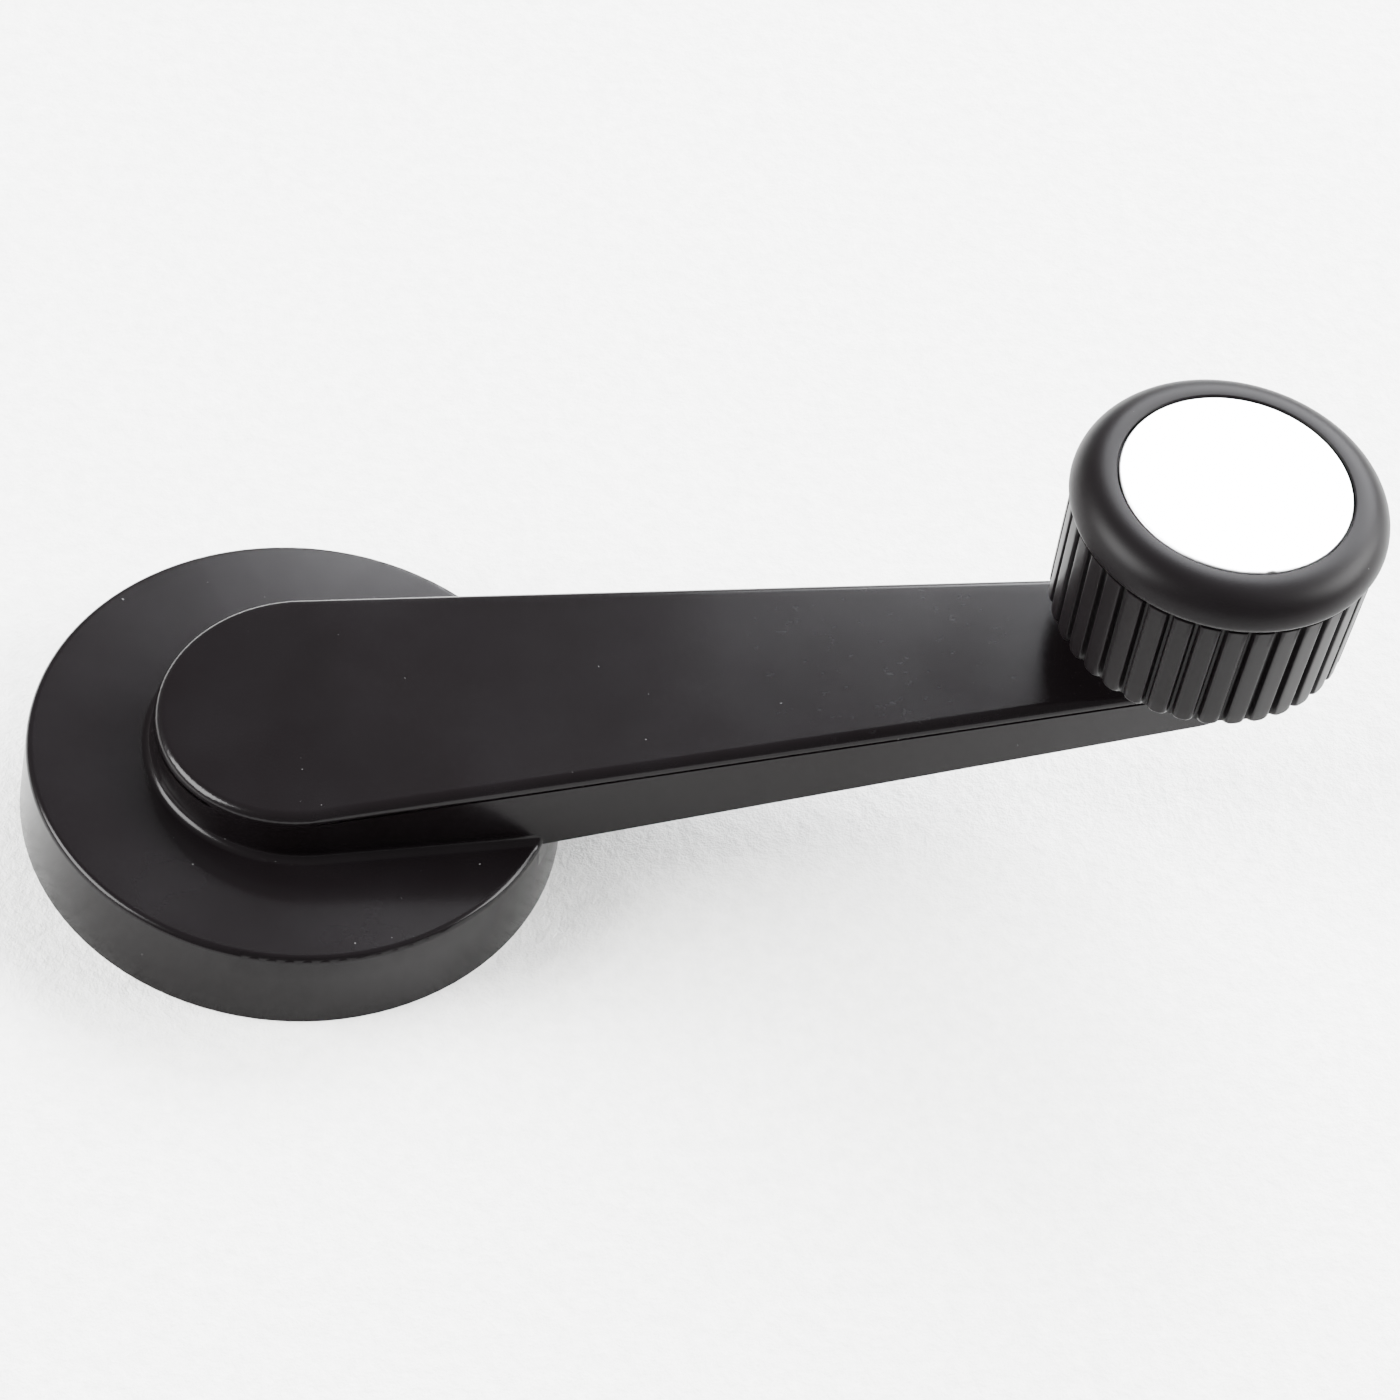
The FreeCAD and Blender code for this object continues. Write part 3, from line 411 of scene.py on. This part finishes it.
def grip_rows():
    """The grip's outline from its inner foot up over the rim and back, in mm from the foot.
    Each row is (radius, z, groove's floor radius or None, how much of the lift)."""
    inner_foot, groove_foot = GRIP_FOOT - GRIP_WALL, GRIP_FOOT - GROOVE_DEEP
    rows = [
        (inner_foot, FOOT_BEVEL, None, 0), (inner_foot + FOOT_BEVEL, 0.0, None, 0),
        (groove_foot - FOOT_BEVEL, 0.0, None, 0),
    ]
    for degrees, lifted in FOOT_TURNS:
        turn = math.radians(degrees)
        radius = groove_foot + GROOVE_DEEP * math.sin(turn)
        rows.append((radius, FOOT_ROUND * (1 - math.cos(turn)), groove_foot, lifted))
    for part in RIB_PARTS:
        level = FOOT_ROUND + part * (RIBS_TOP - RIBS_GAP - FOOT_ROUND)
        outer = GRIP_FOOT + (GRIP_WAIST - GRIP_FOOT) * level / RIM_LOW
        rows.append((outer, level, outer - GROOVE_DEEP, 1 - min(part / RIB_PARTS[0], 1)))
    for inward, rise, floor_in in RECESS:
        floor = None if floor_in is None else GRIP_WAIST - floor_in
        rows.append((GRIP_WAIST - inward, RIBS_TOP + rise, floor, 0))
    outline = arc((RIM_RADIUS - BEAD_ROUND, RIM_LOW + BEAD_RISE), BEAD_ROUND, -68, 0, steps=7)
    outline += arc((RIM_RADIUS - RIM_ROUND, GRIP_TALL - RIM_ROUND), RIM_ROUND, 5, 90, steps=16)
    outline += arc((DISC_WELL + LIP_ROUND, GRIP_TALL - LIP_ROUND), LIP_ROUND, 90, 180, steps=4)
    inner_waist = GRIP_WAIST - GRIP_WALL
    outline += [
        (DISC_WELL, WELL_FLOOR), (WASHER_WELL, WELL_FLOOR), (WASHER_WELL, BUSH_HEAD),
        (BUSH_HOLE, BUSH_HEAD), (BUSH_HOLE, BOSS_FOOT), (BOSS_RADIUS - BOSS_BEVEL, BOSS_FOOT),
        (BOSS_RADIUS, BOSS_FOOT + BOSS_BEVEL), (BOSS_RADIUS, CEILING - CEILING_BEVEL),
        (BOSS_RADIUS + CEILING_BEVEL, CEILING), (inner_waist - CEILING_BEVEL, CEILING),
        (inner_waist, CEILING - CEILING_BEVEL),
    ]
    return rows + [(radius, level, None, 0) for radius, level in outline]


knob_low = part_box("knob_shell")[0]


def make_grip_skin():
    rows, columns = grip_rows(), grip_columns()

    def point(row, column):
        radius, level, floor, lifted = rows[row]
        angle, deep, lift = columns[column]
        if floor is not None:
            radius -= deep * (radius - floor)
        height = level + lifted * lift
        x, y = radius * MM * math.cos(angle), radius * MM * math.sin(angle)
        return (AXIS_X + x, y, knob_low.z + height * MM)

    return wrapped_grid("knob_shell_skin", len(rows), len(columns), point, closed=True)


def make_webs(mesh):
    """Adds the grip's radial webs, each let into the boss, the ceiling and the outer wall."""
    work = bmesh.new()
    work.from_mesh(mesh)
    inner, outer = BOSS_RADIUS - WEB_BITE, GRIP_WAIST - GRIP_WALL + WEB_BITE
    low, high = BOSS_FOOT + WEB_BITE, CEILING + WEB_BITE
    for web in range(WEBS):
        turn = Matrix.Rotation(2 * math.pi * web / WEBS, 4, "Z")
        corners = []
        for level in (low, high):
            for along, across in ((inner, -1), (outer, -1), (outer, 1), (inner, 1)):
                place = turn @ Vector((along * MM, across * WEB_THICK / 2 * MM, level * MM))
                corners.append(work.verts.new(place + Vector((AXIS_X, 0, knob_low.z))))
        for face in ((3, 2, 1, 0), (4, 5, 6, 7), (0, 1, 5, 4), (1, 2, 6, 5), (2, 3, 7, 6),
                     (3, 0, 4, 7)):
            work.faces.new([corners[index] for index in face])
    work.to_mesh(mesh)
    work.free()
    return mesh


def make_disc_skin():
    """The bright disc: a rolled edge, with a small nick in it towards the arm's front side."""
    low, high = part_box("knob_disc")
    radius, thick = (high.x - low.x) / 2 / MM, (high.z - low.z) / MM
    outline = [(radius - DISC_FOOT, 0.0), (radius, DISC_FOOT)]
    outline += arc((radius - DISC_EDGE, thick - DISC_EDGE), DISC_EDGE, 0, 90, steps=5)
    outline += [(radius - DISC_BAND, thick)]

    def point(row, column):
        r, z = outline[row]
        angle = 2 * math.pi * column / DISC_COLUMNS
        nick = abs(math.degrees(angle) - NICK_ANGLE)
        if nick < NICK_HALF and row < len(outline) - 1:
            r -= NICK_DEEP * (1 - (nick / NICK_HALF) ** 2)
        return (AXIS_X + r * MM * math.cos(angle), r * MM * math.sin(angle), low.z + z * MM)

    return wrapped_grid("knob_disc_skin", len(outline), DISC_COLUMNS, point, closed=False)


place_skin(welded_mesh("crank_body"), "crank_body", "crank")
place_skin(welded_mesh("arm_cover"), "arm_cover", "crank")
place_skin(make_webs(make_grip_skin()), "knob_shell", "grip")
place_skin(make_disc_skin(), "knob_disc", "grip")


# ---- Floor, light and camera ----

FLOOR_DARK = (0.72, 0.725, 0.71, 1)
FLOOR_LIGHT = (0.86, 0.86, 0.845, 1)
FLOOR_ROUGHNESS = 0.9
FLOOR_SCALE, FLOOR_STRENGTH, FLOOR_DEPTH = 420.0, 0.5, 0.0012
FLOOR_REACH = 3.0
# Just below the skirt's rim, so that the two don't flicker where they would meet.
FLOOR_LEVEL = -0.05 * MM
WORLD_STRENGTH = 0.80
WHITE = (1.0, 1.0, 1.0)
COOL = (0.955, 0.965, 1.0)
# Each soft box: name, place, what it points at, width, height, watts and colour.
SOFTBOXES = (
    ("back_box", (0.72, 0.98, 0.87), (0.05, 0, 0), 1.2, 0.7, 136, COOL),
    ("left_box", (-1.1, 0.0, 0.7), (0, 0, 0), 0.9, 0.7, 112, WHITE),
    ("right_box", (1.2, 0.0, 0.66), (0.1, 0, 0), 0.9, 0.7, 106, WHITE),
)


def pale_floor():
    finish = Finish("floor_pale")
    fibres = finish.noise(FLOOR_SCALE, detail=6.0, roughness=0.7)
    finish.drive("Base Color", finish.spread(fibres, FLOOR_DARK, FLOOR_LIGHT))
    finish.shader.inputs["Roughness"].default_value = FLOOR_ROUGHNESS
    finish.drive("Normal", finish.bump(fibres, FLOOR_STRENGTH, FLOOR_DEPTH))
    mesh = bpy.data.meshes.new("floor")
    corners = [
        (FLOOR_REACH * x, FLOOR_REACH * y, FLOOR_LEVEL)
        for x, y in ((-1, -1), (1, -1), (1, 1), (-1, 1))
    ]
    mesh.from_pydata(corners, [], [(0, 1, 2, 3)])
    floor = bpy.data.objects.new("floor", mesh)
    bpy.context.scene.collection.objects.link(floor)
    mesh.materials.append(finish.material)


def softbox(name, place, aim, width, height, watts, colour):
    light = bpy.data.lights.new(name, "AREA")
    light.shape = "RECTANGLE"
    light.size, light.size_y, light.energy, light.color = width, height, watts, colour
    lamp = bpy.data.objects.new(name, light)
    lamp.location = place
    lamp.rotation_mode = "QUATERNION"
    lamp.rotation_quaternion = (Vector(aim) - Vector(place)).to_track_quat("-Z", "Y")
    bpy.context.scene.collection.objects.link(lamp)


def surroundings(brightness):
    world = bpy.data.worlds.new("studio")
    world.use_nodes = True
    background = world.node_tree.nodes["Background"]
    background.inputs["Color"].default_value = WHITE + (1,)
    background.inputs["Strength"].default_value = brightness
    bpy.context.scene.world = world


def camera(aim, distance, azimuth, elevation, roll, lens):
    """A camera that looks at aim from an azimuth and elevation in degrees, rolled about its
    view."""
    a, e = math.radians(azimuth), math.radians(elevation)
    back = Vector((math.sin(a) * math.cos(e), -math.cos(a) * math.cos(e), math.sin(e)))
    data = bpy.data.cameras.new("camera")
    data.lens = lens
    data.sensor_width = 36.0
    data.clip_start, data.clip_end = 0.01, 20.0
    item = bpy.data.objects.new("camera", data)
    item.rotation_mode = "QUATERNION"
    level = (-back).to_track_quat("-Z", "Y")
    item.rotation_quaternion = level @ Matrix.Rotation(math.radians(roll), 3, "Z").to_quaternion()
    item.location = Vector(aim) + back * distance
    bpy.context.scene.collection.objects.link(item)
    bpy.context.scene.camera = item


pale_floor()
surroundings(WORLD_STRENGTH)
for settings in SOFTBOXES:
    softbox(*settings)
camera(aim=(0.049, 0.0139, 0.0), distance=0.520, azimuth=-15.85, elevation=49.33, roll=11.0,
       lens=113.64)
